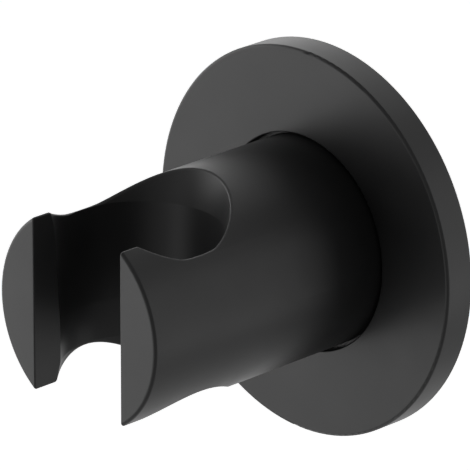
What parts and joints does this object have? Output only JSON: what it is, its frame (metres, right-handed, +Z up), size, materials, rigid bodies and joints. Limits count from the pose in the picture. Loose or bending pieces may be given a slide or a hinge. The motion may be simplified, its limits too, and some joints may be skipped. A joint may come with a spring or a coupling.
{
  "type": "hand shower holder",
  "caption": "Wall-mounted hand shower holder: thick round arm with a tapered, slotted cradle at its free end and a round cover rosette at the wall.",
  "frame": {"origin": "middle of the wall plate's back face, in the plane of the wall", "axes": "+Y into the wall, along the arm's axis; +Z up, along the cradle's axis; +X across"},
  "size_m": [0.06, 0.05, 0.06],
  "materials": {
    "matt_black": "matte",
    "seal_rubber": "matte",
    "plate_steel": "satin",
    "spigot_brass": "satin",
    "screw_steel": "satin"
  },
  "bodies": {
    "root": {"holder_arm": "matt_black", "rosette": "matt_black", "rosette_seal": "seal_rubber", "wall_plate": "plate_steel", "plate_o_ring": "seal_rubber", "spigot": "spigot_brass", "spigot_screw": "screw_steel", "arm_grub_screw": "screw_steel"}
  },
  "joints": []
}
